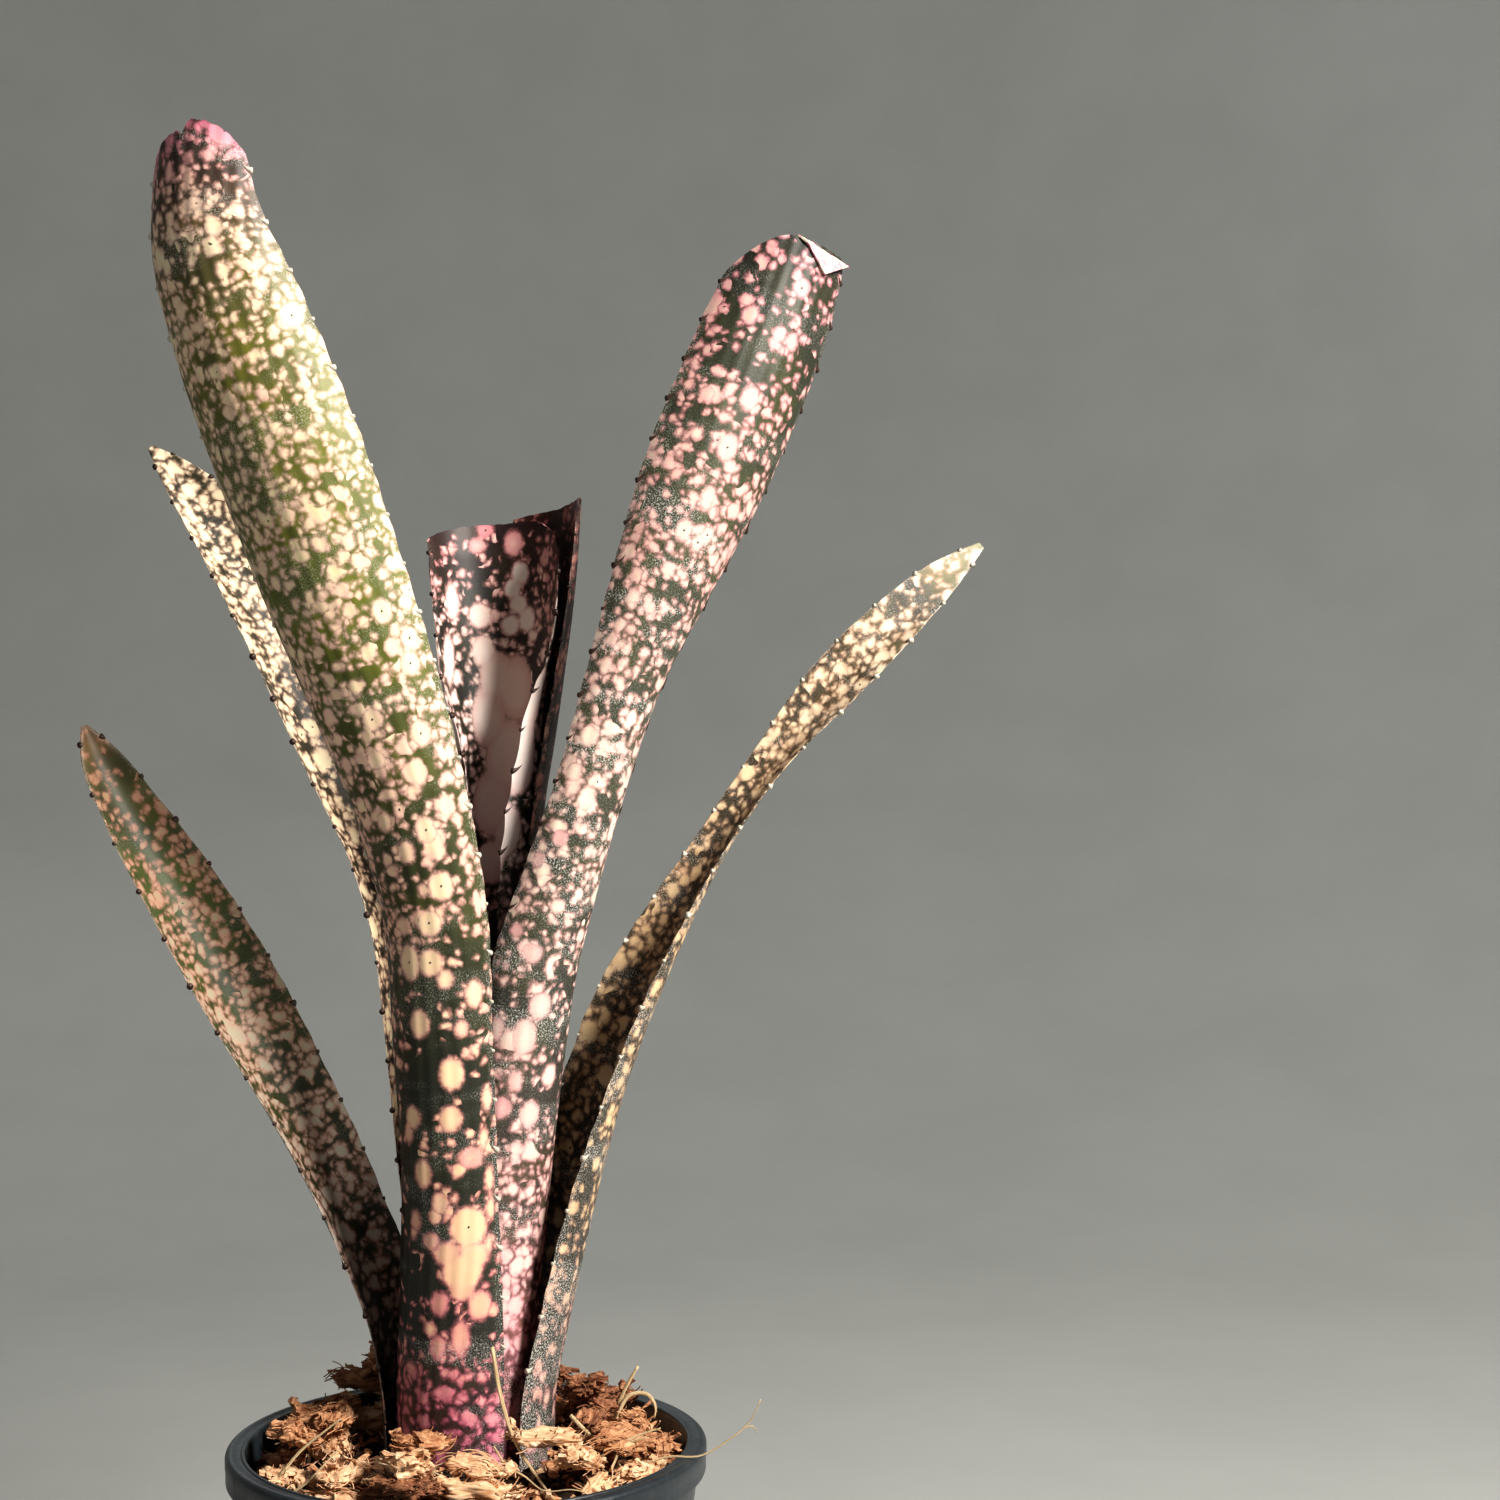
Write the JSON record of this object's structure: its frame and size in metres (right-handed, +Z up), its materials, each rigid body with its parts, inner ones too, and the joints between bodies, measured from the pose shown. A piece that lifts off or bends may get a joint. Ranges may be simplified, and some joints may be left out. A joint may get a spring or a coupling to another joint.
{
  "type": "potted bromeliad",
  "caption": "Tall bromeliad with rolled, spiny-edged strap leaves spotted cream and pink on dark green, set in coconut husk chips in a plain round black nursery pot.",
  "frame": {"origin": "centre of the pot's flat base, on the surface that it stands on", "axes": "+Z up along the pot's axis; -Y towards the side where the tallest leaf's outer face shows; +X to the right seen from there"},
  "size_m": [0.2104, 0.11, 0.3911],
  "materials": {
    "pot_plastic": "satin moulded black plastic",
    "coir_fine": "loose, fibrous, matt",
    "stem_tissue": "dull",
    "husk_dark": "rough, fibrous",
    "husk_brown": "rough, fibrous",
    "husk_pale": "rough, fibrous",
    "leaf_front_left_tissue": "waxy leaf, spotted, with silver scurf",
    "leaf_front_right_tissue": "waxy leaf, spotted, with silver scurf",
    "leaf_centre_tissue": "waxy leaf, spotted, with silver scurf",
    "leaf_back_centre_tissue": "waxy leaf, spotted, with silver scurf",
    "leaf_back_left_tissue": "waxy leaf, spotted, with silver scurf",
    "leaf_left_tissue": "waxy leaf, spotted, with silver scurf",
    "leaf_right_tissue": "waxy leaf, spotted, with silver scurf"
  },
  "bodies": {
    "root": {"pot": "pot_plastic", "coir_bed": "coir_fine", "stem": "stem_tissue", "leaf_front_left": "leaf_front_left_tissue", "leaf_front_right": "leaf_front_right_tissue", "leaf_centre": "leaf_centre_tissue", "leaf_back_centre": "leaf_back_centre_tissue", "leaf_back_left": "leaf_back_left_tissue", "leaf_left": "leaf_left_tissue", "leaf_right": "leaf_right_tissue", "husk_chip_01": "husk_brown", "husk_chip_02": "husk_pale", "husk_chip_03": "husk_dark", "husk_chip_04": "husk_dark", "husk_chip_05": "husk_pale", "husk_chip_06": "husk_brown", "husk_chip_07": "husk_pale", "husk_chip_08": "husk_brown", "husk_chip_09": "husk_pale", "husk_chip_10": "husk_pale", "husk_chip_11": "husk_dark", "husk_chip_12": "husk_dark", "husk_chip_13": "husk_pale", "husk_chip_14": "husk_pale", "husk_chip_15": "husk_brown", "husk_chip_16": "husk_brown", "husk_chip_17": "husk_dark", "husk_chip_18": "husk_pale", "husk_chip_19": "husk_pale", "husk_chip_20": "husk_dark", "husk_chip_21": "husk_brown", "husk_chip_22": "husk_dark", "husk_chip_23": "husk_dark", "husk_chip_24": "husk_dark", "husk_chip_25": "husk_dark", "husk_chip_26": "husk_brown", "husk_chip_27": "husk_brown", "husk_chip_28": "husk_brown", "husk_chip_29": "husk_pale", "husk_chip_30": "husk_pale", "husk_chip_31": "husk_pale", "husk_chip_32": "husk_brown", "husk_chip_33": "husk_dark", "husk_chip_34": "husk_dark", "husk_chip_35": "husk_brown", "husk_chip_36": "husk_brown", "husk_chip_37": "husk_dark", "husk_chip_38": "husk_pale", "husk_chip_39": "husk_pale", "husk_chip_40": "husk_brown", "husk_chip_41": "husk_pale"}
  },
  "joints": []
}
